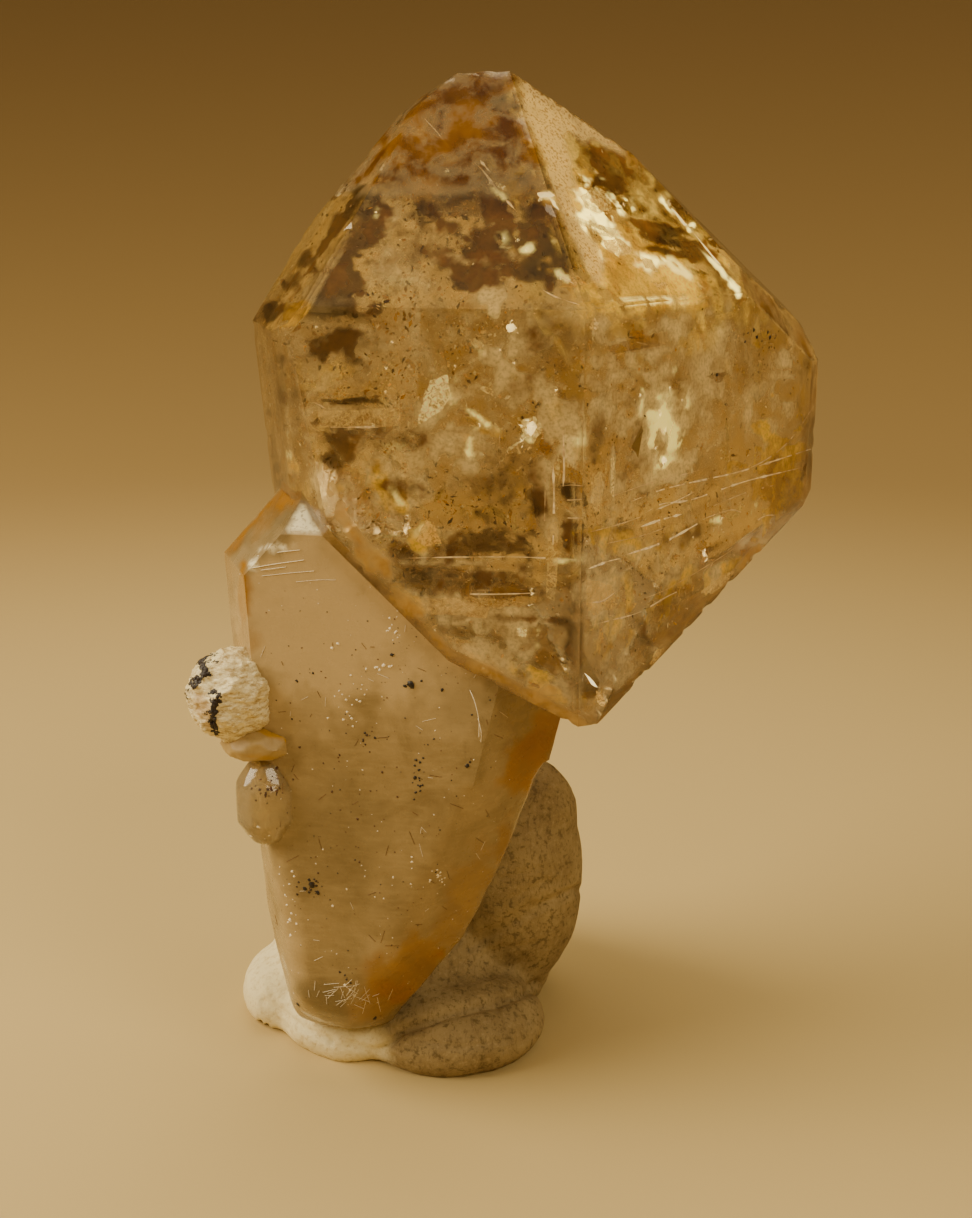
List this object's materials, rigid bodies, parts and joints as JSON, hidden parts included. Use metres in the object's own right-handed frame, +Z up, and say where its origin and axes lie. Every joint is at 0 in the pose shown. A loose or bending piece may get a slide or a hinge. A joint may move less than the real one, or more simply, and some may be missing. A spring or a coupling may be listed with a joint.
{
  "type": "quartz crystal",
  "caption": "Smoky quartz specimen: stubby clear pointed head overhanging a milky tapering stem with small side crystals, standing in soft mounting putty",
  "frame": {"origin": "middle of the footprint of the whole part, on the surface it stands on", "axes": "+Z up, the broad front faces of the crystal look towards -Y, the overhanging side of the head is on +X"},
  "size_m": [0.0276, 0.0178, 0.0426],
  "materials": {
    "quartz": "clear to milky amber crystal with veils, iron stain and glossy flat faces",
    "putty": "soft matt putty, grey-tan with a cream roll"
  },
  "bodies": {
    "root": {"quartz_crystal": "quartz", "putty": "putty"}
  },
  "joints": []
}
